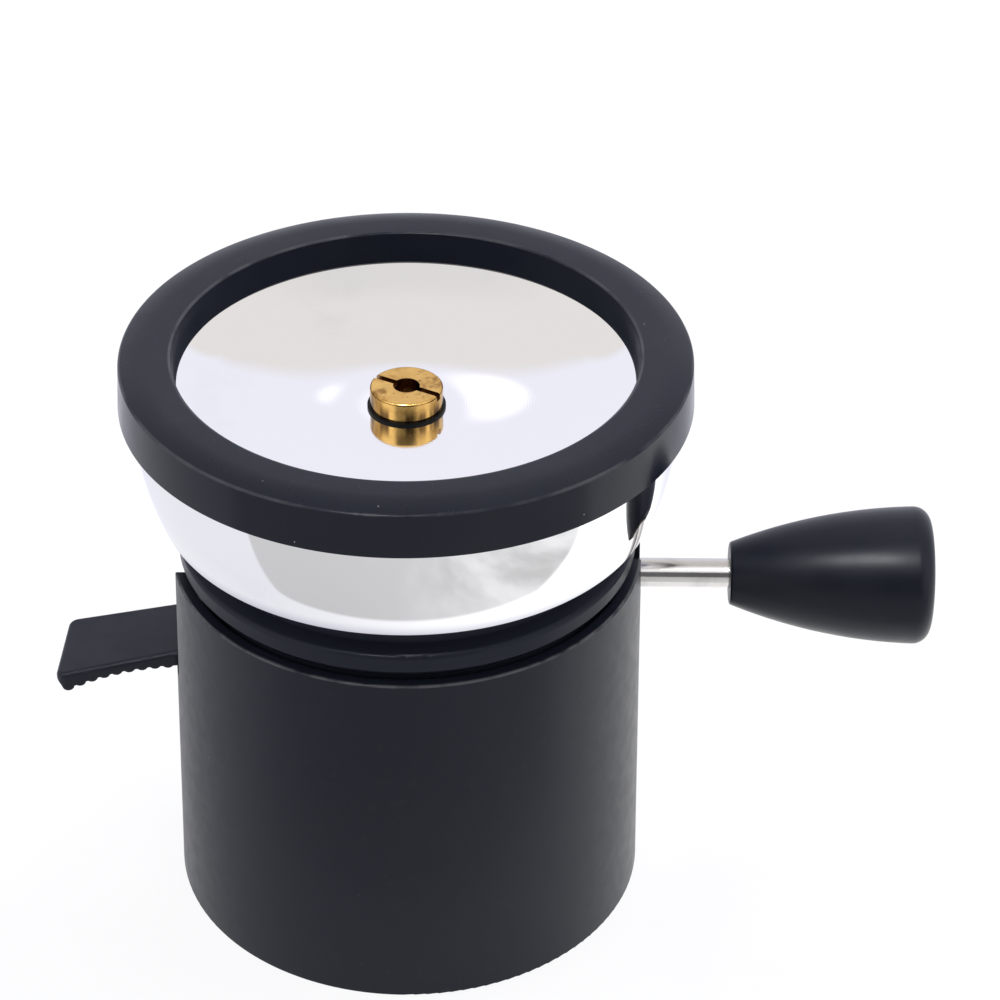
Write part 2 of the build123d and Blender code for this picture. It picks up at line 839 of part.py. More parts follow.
def make_flame_plate():
    plate = Circle(cup_inner_radius - seat_gap) - Circle(flame_hole_radius)
    for ring in range(1, flame_hole_rings + 1):
        plate -= PolarLocations(ring * flame_hole_pitch, 6 * ring) * Circle(flame_hole_radius)
    return Pos(0, 0, cup_end_z) * extrude(plate, flame_plate_thickness)


def make_burner_bezel():
    sleeve_inner = cup_radius + seat_gap
    sleeve_outer = sleeve_inner + bezel_thickness
    sleeve_top_z = face_recess + bezel_sleeve
    return turned(
        (bezel_lip_radius, face_recess),
        (sleeve_outer, face_recess),
        (sleeve_outer, sleeve_top_z),
        (sleeve_inner, sleeve_top_z),
        (sleeve_inner, cup_end_z),
        (bezel_lip_radius, cup_end_z),
        rounds=(((sleeve_outer, face_recess), bezel_thickness / 2),),
    )


# Ignition


def make_ignition_lever():
    tip_x = lever_tip_x
    inner_x = lever_pivot_x
    wall_x = -shield_rim_radius

    def top(x):
        return lever_wall_z + (x - wall_x) * lever_tilt

    def underside(x):
        return top(x) - lever_rise

    scoop_start_x = tip_x + lever_tip_undercut
    scoop_end_x = wall_x + shield_wall
    scoop_x = (scoop_start_x + scoop_end_x) / 2
    tip_low = (scoop_start_x, underside(scoop_start_x))
    scoop_end = (scoop_end_x, underside(scoop_end_x))
    scoop = ThreePointArc(tip_low, (scoop_x, underside(scoop_x) + lever_scoop), scoop_end)
    outline = [
        scoop,
        Polyline(
            scoop_end,
            (inner_x, underside(inner_x)),
            (inner_x, top(inner_x)),
            (tip_x, top(tip_x)),
            (tip_x, top(tip_x) - lever_tip_land),
            tip_low,
        ),
    ]
    side = make_face(outline) + Pos(lever_pivot_x, pivot_z) * Circle(lever_eye_radius)
    side -= Pos(lever_pivot_x, pivot_z) * Circle(lever_pin_radius + run_gap)
    for index in range(ridge_count):
        crest = scoop.position_at(ridge_start + index * ridge_pitch, position_mode=PositionMode.LENGTH)
        side += Pos(crest.X, crest.Y + ridge_radius - ridge_height) * Circle(ridge_radius)
    bar = extrude(Plane.XZ * side, lever_tip_width, both=True)
    half_tip = lever_tip_width / 2
    half_wall = lever_wall_width / 2
    half_arm = lever_arm_width / 2
    arm_end_x = lever_pivot_x + lever_eye_radius
    near_tip = (tip_x, -half_tip)
    far_tip = (tip_x + lever_tip_skew, half_tip)
    plan = Polyline(
        near_tip,
        (wall_x, -half_wall),
        (lever_neck_x, -half_arm),
        (arm_end_x, -half_arm),
        (arm_end_x, half_arm),
        (lever_neck_x, half_arm),
        (wall_x, half_wall),
        far_tip,
        close=True,
    )
    corners = ((near_tip, lever_corner_round), (far_tip, lever_corner_round))
    lever = bar & extrude(rounded(make_face(plan), corners), rim_z)
    facing_up = lever.faces().filter_by(lambda face: face.normal_at().Z > 0.5)
    top_edges = facing_up.sort_by(SortBy.AREA)[-1].edges()
    paddle_edges = top_edges.filter_by(lambda edge: edge.center().X < wall_x)
    return fillet(paddle_edges, lever_edge_round)


def make_lever_pin():
    return crossbar(lever_pin_radius, ear_outer_y, lever_pivot_x, pivot_z)


def make_piezo_body():
    body = upright(piezo_radius, piezo_bottom_z, ceiling_z, piezo_x)
    body -= upright(plunger_radius + run_gap, piezo_bottom_z + piezo_lip, piezo_bore_top_z, piezo_x)
    return body - upright(plunger_neck_radius + 2 * run_gap, piezo_bottom_z, piezo_bore_top_z, piezo_x)


def make_piezo_plunger():
    dome_rise = plunger_dome - math.sqrt(plunger_dome**2 - plunger_neck_radius**2)
    half_dome = plunger_neck_radius / 2
    half_rise = plunger_dome - math.sqrt(plunger_dome**2 - half_dome**2)
    dome_edge = (plunger_neck_radius, plunger_z + dome_rise)
    outline = [
        ThreePointArc((0, plunger_z), (half_dome, plunger_z + half_rise), dome_edge),
        Polyline(
            dome_edge,
            (plunger_neck_radius, plunger_shoulder_z),
            (plunger_radius, plunger_shoulder_z),
            (plunger_radius, plunger_top_z),
            (0, plunger_top_z),
            (0, plunger_z),
        ),
    ]
    return Pos(piezo_x, 0, 0) * revolve(Plane.XZ * make_face(outline), Axis.Z)


def make_piezo_spring():
    spring = coil_spring(
        piezo_coil_radius, piezo_wire_radius, plunger_top_z, piezo_bore_top_z, piezo_coil_turns
    )
    return Pos(piezo_x, 0, 0) * spring


def make_electrode_insulator():
    x, y = electrode_place
    low_z = heat_top_z - insulator_drop
    sleeve = upright(insulator_radius, low_z, heat_top_z + insulator_flange + insulator_rise, x, y)
    sleeve += upright(insulator_flange_radius, heat_top_z, heat_top_z + insulator_flange, x, y)
    return sleeve - upright(electrode_radius + seat_gap, low_z, electrode_top_z, x, y)


def make_electrode():
    tip_z = face_recess - electrode_tip_gap
    tip_radius = cup_radius - electrode_overlap
    path = FilletPolyline(
        (*electrode_place, electrode_top_z),
        (*electrode_place, tip_z),
        (*on_circle(tip_radius, electrode_angle), tip_z),
        radius=electrode_bend,
    )
    section = Plane((*electrode_place, electrode_top_z), z_dir=(0, 0, -1)) * Circle(electrode_radius)
    return sweep(section, path=path)


def make_ignition_lead():
    lead_z = piezo_bottom_z + lead_height / 2
    start = (piezo_x, piezo_radius + seat_gap, lead_z)
    route = [
        start,
        (piezo_x, lead_reach, lead_z),
        (*electrode_place, lead_z + lead_height / 4),
        (*electrode_place, electrode_top_z + seat_gap),
    ]
    corners = []
    for before, corner, after in zip(route, route[1:], route[2:]):
        first = Vector(corner) - Vector(before)
        second = Vector(after) - Vector(corner)
        half_turn = math.radians(first.get_angle(second)) / 2
        corners.append(0.45 * min(first.length, second.length) / math.tan(half_turn))
    print("ignition lead radii", [round(radius, 1) for radius in corners])
    section = Plane(start, z_dir=(0, 1, 0)) * Circle(lead_radius)
    return sweep(section, path=FilletPolyline(*route, radius=corners))


nodes = {
    "windshield": make_windshield,
    "heat_shield": make_heat_shield,
    "shield_screws": make_shield_screws,
    "neck_housing": make_neck_housing,
    "tank_bowl": make_tank_bowl,
    "bottom_plate": make_bottom_plate,
    "base_ring": make_base_ring,
    "filler_boss": make_filler_boss,
    "filler_gasket": make_filler_gasket,
    "filler_valve_body": make_filler_valve_body,
    "filler_pin": make_filler_pin,
    "filler_seal": make_filler_seal,
    "filler_spring": make_filler_spring,
    "filler_retainer": make_filler_retainer,
    "tank_bush": make_tank_bush,
    "tank_nut": make_tank_nut,
    "tank_o_ring": make_tank_o_ring,
    "fuel_filter": make_fuel_filter,
    "valve_block": make_valve_block,
    "gas_jet": make_gas_jet,
    "gland_nut": make_gland_nut,
    "needle_spindle": make_needle_spindle,
    "spindle_o_ring": make_spindle_o_ring,
    "spindle_pin": make_spindle_pin,
    "knob_rod": make_knob_rod,
    "flame_knob": make_flame_knob,
    "mixing_tube": make_mixing_tube,
    "burner_cup": make_burner_cup,
    "flame_plate": make_flame_plate,
    "burner_bezel": make_burner_bezel,
    "ignition_lever": make_ignition_lever,
    "lever_pin": make_lever_pin,
    "piezo_body": make_piezo_body,
    "piezo_plunger": make_piezo_plunger,
    "piezo_spring": make_piezo_spring,
    "electrode_insulator": make_electrode_insulator,
    "electrode": make_electrode,
    "ignition_lead": make_ignition_lead,
}

os.makedirs("parts", exist_ok=True)
for name, make in nodes.items():
    export_step(make(), f"parts/{name}.step")
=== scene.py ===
"""Looks of the butane burner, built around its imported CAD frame.

Objects are in metres. Lathe profiles are in millimetres: a point is (radius, height), and a rounded corner is
(radius, height, round).
"""

import math

import bpy
from mathutils import Euler, Matrix, Vector


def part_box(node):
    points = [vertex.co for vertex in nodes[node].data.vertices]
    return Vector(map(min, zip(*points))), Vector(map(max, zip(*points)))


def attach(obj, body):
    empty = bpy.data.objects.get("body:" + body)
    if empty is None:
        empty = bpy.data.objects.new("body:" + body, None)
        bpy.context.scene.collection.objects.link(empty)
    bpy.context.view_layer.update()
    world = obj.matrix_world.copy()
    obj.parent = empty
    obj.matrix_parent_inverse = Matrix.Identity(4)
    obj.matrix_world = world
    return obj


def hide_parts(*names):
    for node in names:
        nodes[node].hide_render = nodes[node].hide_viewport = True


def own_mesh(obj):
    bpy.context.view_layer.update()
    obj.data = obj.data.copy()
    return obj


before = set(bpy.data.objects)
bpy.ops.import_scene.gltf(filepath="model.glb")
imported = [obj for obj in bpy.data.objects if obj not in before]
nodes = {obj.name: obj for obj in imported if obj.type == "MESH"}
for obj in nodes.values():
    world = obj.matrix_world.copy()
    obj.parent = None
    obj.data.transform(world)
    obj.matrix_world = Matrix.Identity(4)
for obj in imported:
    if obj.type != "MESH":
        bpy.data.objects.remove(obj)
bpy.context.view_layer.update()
scene = bpy.context.scene

MM = 0.001
LOW_END = 0
HIGH_END = 1


# Sizes of the turned bodies, in millimetres


def frame_size(node, axis, end=HIGH_END):
    """Where a CAD node's box ends along an axis."""
    return round(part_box(node)[end]["xyz".index(axis)] / MM, 3)


fit_gap = 0.05

bowl_radius = frame_size("tank_bowl", "x")
bowl_floor_z = frame_size("tank_bowl", "z", LOW_END)
bowl_rim_z = frame_size("tank_bowl", "z")
bowl_belly_z = frame_size("base_ring", "z", LOW_END)
bowl_side_round = 46.0
bowl_wall = 1.0
bowl_hole = 6.05
bowl_foot_round = 1.6
bowl_foot_inner_round = 0.6
bowl_foot_height = 2.0
bowl_rim_round = 0.3

plate_radius = frame_size("bottom_plate", "x")
plate_edge_z = frame_size("bottom_plate", "z")
plate_thickness = 0.8
plate_hole = 3.5
plate_land = 6.5
plate_dish_round = 98.0
plate_lift_radius = 27.0
plate_lift_round = 25.0
plate_lift_slope = 30.0

ring_top_z = frame_size("base_ring", "z")
ring_flare = 0.3
ring_outer = frame_size("base_ring", "x") - ring_flare
ring_inner = 34.9
ring_crown_width = 4.25
ring_crown_drop = 0.85
ring_crease_round = 0.4
ring_lip_round = 0.45

# Painted highlights: pale bands along the ring's outer crease and inner lip.
crease_highlight_radius = ring_outer - 0.09
crease_highlight_z = ring_top_z - ring_crown_drop - 0.03
crease_highlight_width = 0.34
lip_highlight_radius = ring_inner + 0.15
lip_highlight_z = ring_top_z - 0.12
lip_highlight_width = 0.40


# Shapes

LATHE_SEGMENTS = 320
FACET_SAG = 0.001
SHARP_ANGLE = math.radians(32)


def new_piece(name, verts, faces):
    """A smooth object, with sharp edges where its faces meet steeply."""
    mesh = bpy.data.meshes.new(name)
    mesh.from_pydata(verts, [], faces)
    mesh.shade_smooth()
    mesh.set_sharp_from_angle(angle=SHARP_ANGLE)
    mesh.validate()
    piece = bpy.data.objects.new(name, mesh)
    scene.collection.objects.link(piece)
    return piece


def facets(radius, turn):
    """How many facets keep an arc smooth."""
    return max(3, math.ceil(abs(turn) * math.sqrt(radius / (8 * FACET_SAG))))


def arc(centre_r, centre_z, radius, start, end):
    """Points on an arc of a profile, from one angle in degrees to another."""
    count = facets(radius, math.radians(end - start))
    points = []
    for index in range(count + 1):
        angle = math.radians(start + (end - start) * index / count)
        points.append((centre_r + radius * math.cos(angle), centre_z + radius * math.sin(angle)))
    return points


def rounded(profile):
    """A closed profile with each (radius, height, round) corner turned into an arc."""
    points = []
    for index, item in enumerate(profile):
        if len(item) == 2:
            points.append(item)
            continue
        corner = Vector(item[:2])
        before = Vector(profile[index - 1][:2]) - corner
        after = Vector(profile[(index + 1) % len(profile)][:2]) - corner
        half = before.angle(after) / 2
        reach = item[2] / math.tan(half)
        middle = corner + (before.normalized() + after.normalized()).normalized() * item[2] / math.sin(half)
        first = corner + before.normalized() * reach - middle
        last = corner + after.normalized() * reach - middle
        turn = first.angle_signed(last)
        count = facets(item[2], turn)
        for step in range(count + 1):
            spot = middle + Matrix.Rotation(-turn * step / count, 2) @ first
            points.append((spot.x, spot.y))
    return points


def lathe(name, profile):
    """A closed body turned about Z from a profile that stays off the axis."""
    points = rounded(profile)
    verts = []
    for radius, height in points:
        for index in range(LATHE_SEGMENTS):
            angle = 2 * math.pi * index / LATHE_SEGMENTS
            verts.append((radius * math.cos(angle) * MM, radius * math.sin(angle) * MM, height * MM))
    faces = []
    for row in range(len(points)):
        low = row * LATHE_SEGMENTS
        high = (row + 1) % len(points) * LATHE_SEGMENTS
        for index in range(LATHE_SEGMENTS):
            after = (index + 1) % LATHE_SEGMENTS
            faces.append((low + index, low + after, high + after, high + index))
    return new_piece(name, verts, faces)


# Node trees


class Bench:
    """A node tree with short ways to add, set and join its nodes."""

    def __init__(self, tree):
        self.tree = tree

    def add(self, kind):
        return self.tree.nodes.new(kind)

    def feed(self, value, socket):
        """Joins an output to a socket, or sets the socket to a plain value."""
        if isinstance(value, bpy.types.NodeSocket):
            self.tree.links.new(value, socket)
        else:
            socket.default_value = value

    def remap(self, value, low, high, to_low=0.0, to_high=1.0):
        """A smooth step from one number to another."""
        node = self.add("ShaderNodeMapRange")
        node.interpolation_type = "SMOOTHSTEP"
        for name, number in zip(("From Min", "From Max", "To Min", "To Max"), (low, high, to_low, to_high)):
            node.inputs[name].default_value = number
        self.feed(value, node.inputs["Value"])
        return node.outputs["Result"]

    def maths(self, operation, *values):
        node = self.add("ShaderNodeMath")
        node.operation = operation
        for value, socket in zip(values, node.inputs):
            self.feed(value, socket)
        return node.outputs[0]

    def vector(self, operation, result, *values):
        node = self.add("ShaderNodeVectorMath")
        node.operation = operation
        for value, socket in zip(values, node.inputs):
            self.feed(value, socket)
        return node.outputs[result]

    def split(self, vector):
        node = self.add("ShaderNodeSeparateXYZ")
        self.feed(vector, node.inputs[0])
        return node.outputs

    def mix(self, share, first, second, blend="MIX"):
        """Mixes two colours."""
        node = self.add("ShaderNodeMix")
        node.data_type = "RGBA"
        node.blend_type = blend
        sockets = {socket.identifier: socket for socket in node.inputs}
        self.feed(share, sockets["Factor_Float"])
        self.feed(first, sockets["A_Color"])
        self.feed(second, sockets["B_Color"])
        return next(socket for socket in node.outputs if socket.identifier == "Result_Color")

    def blend(self, share, first, second):
        """Mixes two shaders."""
        node = self.add("ShaderNodeMixShader")
        for value, socket in zip((share, first, second), node.inputs):
            self.feed(value, socket)
        return node.outputs[0]


class Shade(Bench):
    """A material under construction: one principled shader, textured in the object's own coordinates."""

    NOISE_LOW = 0.3
    NOISE_HIGH = 0.7
    MASK_CORE = 0.4
    SPECK_STEP = 0.01

    def __init__(self, name, colour, roughness, metallic=0.0, specular=0.5):
        self.material = bpy.data.materials.new(name)
        self.material.use_nodes = True
        super().__init__(self.material.node_tree)
        self.shader = self.tree.nodes["Principled BSDF"]
        self.colour = (*colour, 1)
        self.shader.inputs["Base Color"].default_value = self.colour
        self.shader.inputs["Roughness"].default_value = roughness
        self.shader.inputs["Metallic"].default_value = metallic
        self.shader.inputs["Specular IOR Level"].default_value = specular
        self.place = self.add("ShaderNodeTexCoord").outputs["Object"]
        self.normal = None

    def along(self, axis):
        return self.split(self.place)[axis]

    def from_axis(self):
        """Distance from the burner's axis."""
        return self.vector("LENGTH", "Value", self.vector("MULTIPLY", 0, self.place, (1, 1, 0)))

    def noise(self, scale, detail=2.0, rough=0.5, stretch=None):
        texture = self.add("ShaderNodeTexNoise")
        texture.inputs["Scale"].default_value = scale
        texture.inputs["Detail"].default_value = detail
        texture.inputs["Roughness"].default_value = rough
        where = self.vector("MULTIPLY", 0, self.place, stretch) if stretch else self.place
        self.feed(where, texture.inputs["Vector"])
        return texture.outputs["Fac"]

    def band(self, radius, height, width):
        """Mask of a thin band round an edge of a body turned about Z."""
        aside = self.maths("SUBTRACT", self.from_axis(), radius)
        above = self.maths("SUBTRACT", self.along("Z"), height)
        off = self.maths("MAXIMUM", self.maths("ABSOLUTE", aside), self.maths("ABSOLUTE", above))
        return self.remap(off, width, self.MASK_CORE * width)

    def specks(self, per_metre, size, share):
        """Mask of sparse round specks: a share of the texture's cells each hold one."""
        cells = self.add("ShaderNodeTexVoronoi")
        cells.inputs["Scale"].default_value = per_metre
        self.feed(self.place, cells.inputs["Vector"])
        dot = self.remap(cells.outputs["Distance"], size, self.MASK_CORE * size)
        pick = self.add("ShaderNodeSeparateColor")
        self.feed(cells.outputs["Color"], pick.inputs[0])
        chosen = self.remap(pick.outputs[0], 1 - share, 1 - share + self.SPECK_STEP)
        return self.maths("MULTIPLY", dot, chosen)

    def tint(self, mask, colour):
        """Mixes a colour over the base colour by a mask."""
        self.colour = self.mix(mask, self.colour, (*colour, 1))
        self.feed(self.colour, self.shader.inputs["Base Color"])

    def patches(self, colour, scale, detail, start, full, rough=0.5, stretch=None):
        """Tints the surface in cloudy patches."""
        self.tint(self.remap(self.noise(scale, detail, rough, stretch), start, full), colour)

    def uneven_gloss(self, low, high, scale, detail, rough=0.5):
        """Varies the roughness between two values."""
        mask = self.noise(scale, detail, rough)
        gloss = self.remap(mask, self.NOISE_LOW, self.NOISE_HIGH, low, high)
        self.feed(gloss, self.shader.inputs["Roughness"])

    def bump(self, height, strength, depth):
        """Bumps the surface, over any bumps that it has; depth is in millimetres."""
        node = self.add("ShaderNodeBump")
        node.inputs["Strength"].default_value = strength
        node.inputs["Distance"].default_value = depth * MM
        self.feed(height, node.inputs["Height"])
        if self.normal:
            self.feed(self.normal, node.inputs["Normal"])
        self.normal = node.outputs["Normal"]
        self.feed(self.normal, self.shader.inputs["Normal"])

    def grain(self, scale, detail, strength, depth, rough=0.5, stretch=None):
        self.bump(self.noise(scale, detail, rough, stretch), strength, depth)

    def turning_marks(self, per_metre, strength, depth):
        """Fine rings round the axis, as a lathe leaves them."""
        rings = self.maths("SINE", self.maths("MULTIPLY", self.from_axis(), 2 * math.pi * per_metre))
        self.bump(rings, strength, depth)


# Materials

PALE_DUST = (0.30, 0.30, 0.31)
DULL_DUST = (0.16, 0.16, 0.17)


def rubber():
    """Satin rubber of the base ring's top, with painted highlights along its outer crease and inner lip."""
    shade = Shade("foot_rubber", (0.0092, 0.0110, 0.0184), 0.30, specular=0.17)
    shade.patches((0.0122, 0.0138, 0.0208), scale=55, detail=4, start=0.45, full=0.75)
    shade.patches((0.0170, 0.0182, 0.0240), scale=170, detail=5, rough=0.65, start=0.60, full=0.80)
    shade.tint(shade.specks(per_metre=420, size=0.06, share=0.18), PALE_DUST)
    shade.tint(shade.specks(per_metre=900, size=0.07, share=0.05), DULL_DUST)
    # Painted highlights along the outer crease and the inner lip, broken up by noise.
    painted_highlight = shade.remap(shade.noise(scale=110, detail=4), 0.30, 0.62)
    crease = shade.band(crease_highlight_radius * MM, crease_highlight_z * MM, crease_highlight_width * MM)
    lip = shade.band(lip_highlight_radius * MM, lip_highlight_z * MM, lip_highlight_width * MM)
    for edge in (crease, lip):
        shade.tint(shade.maths("MULTIPLY", edge, painted_highlight), (0.050, 0.053, 0.062))
    shade.uneven_gloss(0.24, 0.34, scale=140, detail=4)
    shade.grain(scale=2600, detail=2, strength=0.10, depth=0.05)
    return shade.material


def matt_rubber():
    """Matt rubber of the base ring's inner wall."""
    shade = Shade("foot_rubber_matt", (0.0095, 0.0118, 0.0200), 0.45, specular=0.05)
    shade.patches((0.0120, 0.0140, 0.0218), scale=70, detail=4, start=0.45, full=0.75)
    shade.uneven_gloss(0.40, 0.52, scale=140, detail=4)
    shade.grain(scale=2600, detail=2, strength=0.10, depth=0.05)
    return shade.material


def gloss_rubber():
    """Glossier rubber of the base ring's outer face."""
    shade = Shade("foot_rubber_gloss", (0.0046, 0.0062, 0.0142), 0.16, specular=0.26)
    shade.patches((0.0060, 0.0076, 0.0154), scale=70, detail=4, start=0.45, full=0.75)
    shade.tint(shade.specks(per_metre=420, size=0.06, share=0.18), PALE_DUST)
    shade.uneven_gloss(0.13, 0.22, scale=140, detail=4)
    shade.grain(scale=2600, detail=2, strength=0.06, depth=0.05)
    return shade.material


# Painted dark reflection: the chrome turns darker and bluer towards the tank's foot.
FOOT_DARK_REFLECTION_START = (bowl_floor_z + 3.5) * MM
FOOT_DARK_REFLECTION_FULL = (bowl_floor_z - 0.1) * MM


def chrome():
    """Chrome of the tank, with a painted dark reflection towards its foot."""
    shade = Shade("tank_chrome", (0.89, 0.89, 0.905), 0.04, metallic=1.0)
    shade.patches((0.80, 0.80, 0.825), scale=70, detail=5, rough=0.6, start=0.55, full=0.85)
    shade.tint(shade.remap(shade.along("Z"), FOOT_DARK_REFLECTION_START, FOOT_DARK_REFLECTION_FULL), (0.53, 0.535, 0.60))
    shade.uneven_gloss(0.02, 0.075, scale=38, detail=5, rough=0.6)
    shade.grain(scale=40, detail=1, strength=0.004, depth=0.12)
    return shade.material


def mirror():
    """Mirror of the bottom plate, with faint turning marks."""
    shade = Shade("plate_mirror", (0.90, 0.895, 0.905), 0.03, metallic=1.0)
    shade.patches((0.82, 0.82, 0.84), scale=48, detail=5, rough=0.6, start=0.55, full=0.9)
    shade.uneven_gloss(0.018, 0.07, scale=60, detail=6, rough=0.65)
    shade.turning_marks(per_metre=2600, strength=0.012, depth=0.02)
    return shade.material


SLOT_TURN = math.radians(-28)
SLOT_ACROSS = (-math.sin(SLOT_TURN), math.cos(SLOT_TURN), 0)
SLOT_HALF = 0.54 * MM
SLOT_DEPTH = 1.02 * MM
SLOT_BLUR = 0.02 * MM
BORE_RADIUS = 2.06 * MM
BORE_BLUR = 0.03 * MM
# How far below the head's top the painted dark reflections start and are full.
HEAD_REFLECTION_START = 0.3 * MM
HEAD_REFLECTION_FULL = 2.6 * MM


def brass():
    """Tarnished brass, with painted dark reflections streaked down the filler head's side, and dark in its
    slot and bore.
    """
    shade = Shade("valve_brass", (0.76, 0.47, 0.145), 0.2, metallic=1.0)
    shade.patches((0.55, 0.29, 0.07), scale=330, detail=5, rough=0.6, start=0.42, full=0.75)
    shade.patches(
        (0.34, 0.175, 0.045), scale=260, detail=3, rough=0.6, stretch=(1, 1, 0.12), start=0.50, full=0.68
    )
    shade.patches((0.24, 0.12, 0.034), scale=900, detail=3, start=0.62, full=0.8)
    height = shade.along("Z")
    head_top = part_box("filler_valve_body")[HIGH_END][2]
    # Painted dark reflections: brown upright streaks down the head's side.
    side = shade.remap(height, head_top - HEAD_REFLECTION_START, head_top - HEAD_REFLECTION_FULL)
    reflection_streaks = shade.remap(shade.noise(scale=420, detail=3, rough=0.6, stretch=(1, 1, 0.08)), 0.42, 0.60)
    shade.tint(shade.maths("MULTIPLY", side, reflection_streaks), (0.13, 0.07, 0.025))
    across = shade.maths("ABSOLUTE", shade.vector("DOT_PRODUCT", "Value", shade.place, SLOT_ACROSS))
    beside = shade.remap(across, SLOT_HALF, SLOT_HALF - SLOT_BLUR)
    sunk = shade.remap(height, head_top - SLOT_DEPTH - SLOT_BLUR, head_top - SLOT_DEPTH)
    shade.tint(shade.maths("MULTIPLY", beside, sunk), (0.30, 0.19, 0.10))
    bore = shade.remap(shade.from_axis(), BORE_RADIUS, BORE_RADIUS - BORE_BLUR)
    shade.tint(bore, (0.34, 0.21, 0.10))
    shade.uneven_gloss(0.13, 0.30, scale=500, detail=4)
    shade.turning_marks(per_metre=5200, strength=0.08, depth=0.03)
    shade.grain(scale=900, detail=3, strength=0.10, depth=0.05)
    return shade.material


def moulded(name, colour, patch_colour, gloss, grain, specular):
    """Moulded plastic or rubber; gloss is its lowest and highest roughness."""
    shade = Shade(name, colour, gloss[0], specular=specular)
    shade.patches(patch_colour, scale=60, detail=5, rough=0.6, start=0.4, full=0.8)
    shade.uneven_gloss(*gloss, scale=160, detail=4)
    shade.grain(scale=grain, detail=3, strength=0.16, depth=0.05)
    return shade.material


RIM_RADIUS = 36.0 * MM
# Where the painted highlight along the rim's outer edge starts and is full.
RIM_HIGHLIGHT_DROP = 0.40 * MM
RIM_HIGHLIGHT_FULL_DROP = 0.15 * MM
RIM_HIGHLIGHT_INSET = 0.5 * MM
RIM_HIGHLIGHT_FULL_INSET = 0.25 * MM


def paint():
    """Matt coating of the windshield, with a painted highlight along the rim's outer edge."""
    shade = Shade("shield_paint", (0.0090, 0.0108, 0.0185), 0.34, specular=0.18)
    shade.patches((0.0114, 0.0128, 0.0198), scale=48, detail=5, rough=0.62, start=0.42, full=0.80)
    shade.patches((0.0140, 0.0150, 0.0212), scale=620, detail=2, start=0.60, full=0.82)
    rim_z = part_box("windshield")[HIGH_END][2]
    # Painted highlight: a pale line along the rim's outer edge, broken up by noise.
    high = shade.remap(shade.along("Z"), rim_z - RIM_HIGHLIGHT_DROP, rim_z - RIM_HIGHLIGHT_FULL_DROP)
    outer = shade.remap(shade.from_axis(), RIM_RADIUS - RIM_HIGHLIGHT_INSET, RIM_RADIUS - RIM_HIGHLIGHT_FULL_INSET)
    highlight_breakup = shade.remap(shade.noise(scale=300, detail=4), 0.3, 0.6)
    painted_highlight = shade.maths("MULTIPLY", shade.maths("MULTIPLY", high, outer), highlight_breakup)
    shade.tint(painted_highlight, (0.075, 0.077, 0.085))
    shade.tint(shade.specks(per_metre=300, size=0.05, share=0.05), (0.12, 0.12, 0.125))
    shade.uneven_gloss(0.33, 0.38, scale=420, detail=4)
    shade.grain(scale=1500, detail=4, rough=0.6, strength=0.14, depth=0.06)
    return shade.material


STEEL_DIM = 0.8


def steel(name, colour, gloss, lines, stretch=None):
    """Turned or drawn steel; gloss is its lowest and highest roughness."""
    shade = Shade(name, colour, gloss[0], metallic=1.0)
    dim = tuple(channel * STEEL_DIM for channel in colour)
    shade.patches(dim, scale=260, detail=4, start=0.45, full=0.8)
    shade.uneven_gloss(*gloss, scale=420, detail=4)
    shade.grain(scale=lines, detail=2, strength=0.06, depth=0.02, stretch=stretch)
    return shade.material


HEAT_START_Z = 24 * MM
HEAT_FULL_Z = 13 * MM


def burner_steel():
    """Stainless sheet, coloured by heat near the flame."""
    shade = Shade("burner_steel", (0.56, 0.545, 0.52), 0.32, metallic=1.0)
    shade.patches((0.42, 0.39, 0.36), scale=180, detail=5, rough=0.6, start=0.40, full=0.78)
    heat = shade.remap(shade.along("Z"), HEAT_START_Z, HEAT_FULL_Z)
    straw = shade.remap(shade.noise(scale=150, detail=3), 0.35, 0.7)
    blue = shade.remap(shade.noise(scale=230, detail=3), 0.58, 0.8)
    shade.tint(shade.maths("MULTIPLY", heat, straw), (0.40, 0.29, 0.19))
    shade.tint(shade.maths("MULTIPLY", heat, blue), (0.20, 0.21, 0.30))
    shade.uneven_gloss(0.26, 0.44, scale=300, detail=4)
    shade.grain(scale=1400, detail=3, strength=0.08, depth=0.04)
    return shade.material


def bronze_filter():
    """Sintered bronze."""
    shade = Shade("filter_bronze", (0.45, 0.27, 0.13), 0.55, metallic=1.0)
    shade.patches((0.20, 0.12, 0.06), scale=2600, detail=2, start=0.5, full=0.65)
    shade.grain(scale=2600, detail=2, strength=0.6, depth=0.1)
    return shade.material


def ceramic():
    """White ceramic of the electrode's sleeve."""
    shade = Shade("insulator_ceramic", (0.78, 0.76, 0.70), 0.32)
    shade.patches((0.62, 0.59, 0.53), scale=420, detail=4, start=0.5, full=0.8)
    shade.uneven_gloss(0.25, 0.45, scale=500, detail=3)
    shade.grain(scale=2000, detail=2, strength=0.06, depth=0.03)
    return shade.material


def lead_sleeve():
    """Red silicone of the ignition lead."""
    shade = Shade("lead_sleeve", (0.42, 0.02, 0.015), 0.42)
    shade.patches((0.28, 0.012, 0.01), scale=600, detail=3, start=0.45, full=0.75)
    shade.uneven_gloss(0.34, 0.5, scale=700, detail=3)
    shade.grain(scale=2400, detail=2, strength=0.08, depth=0.03)
    return shade.material


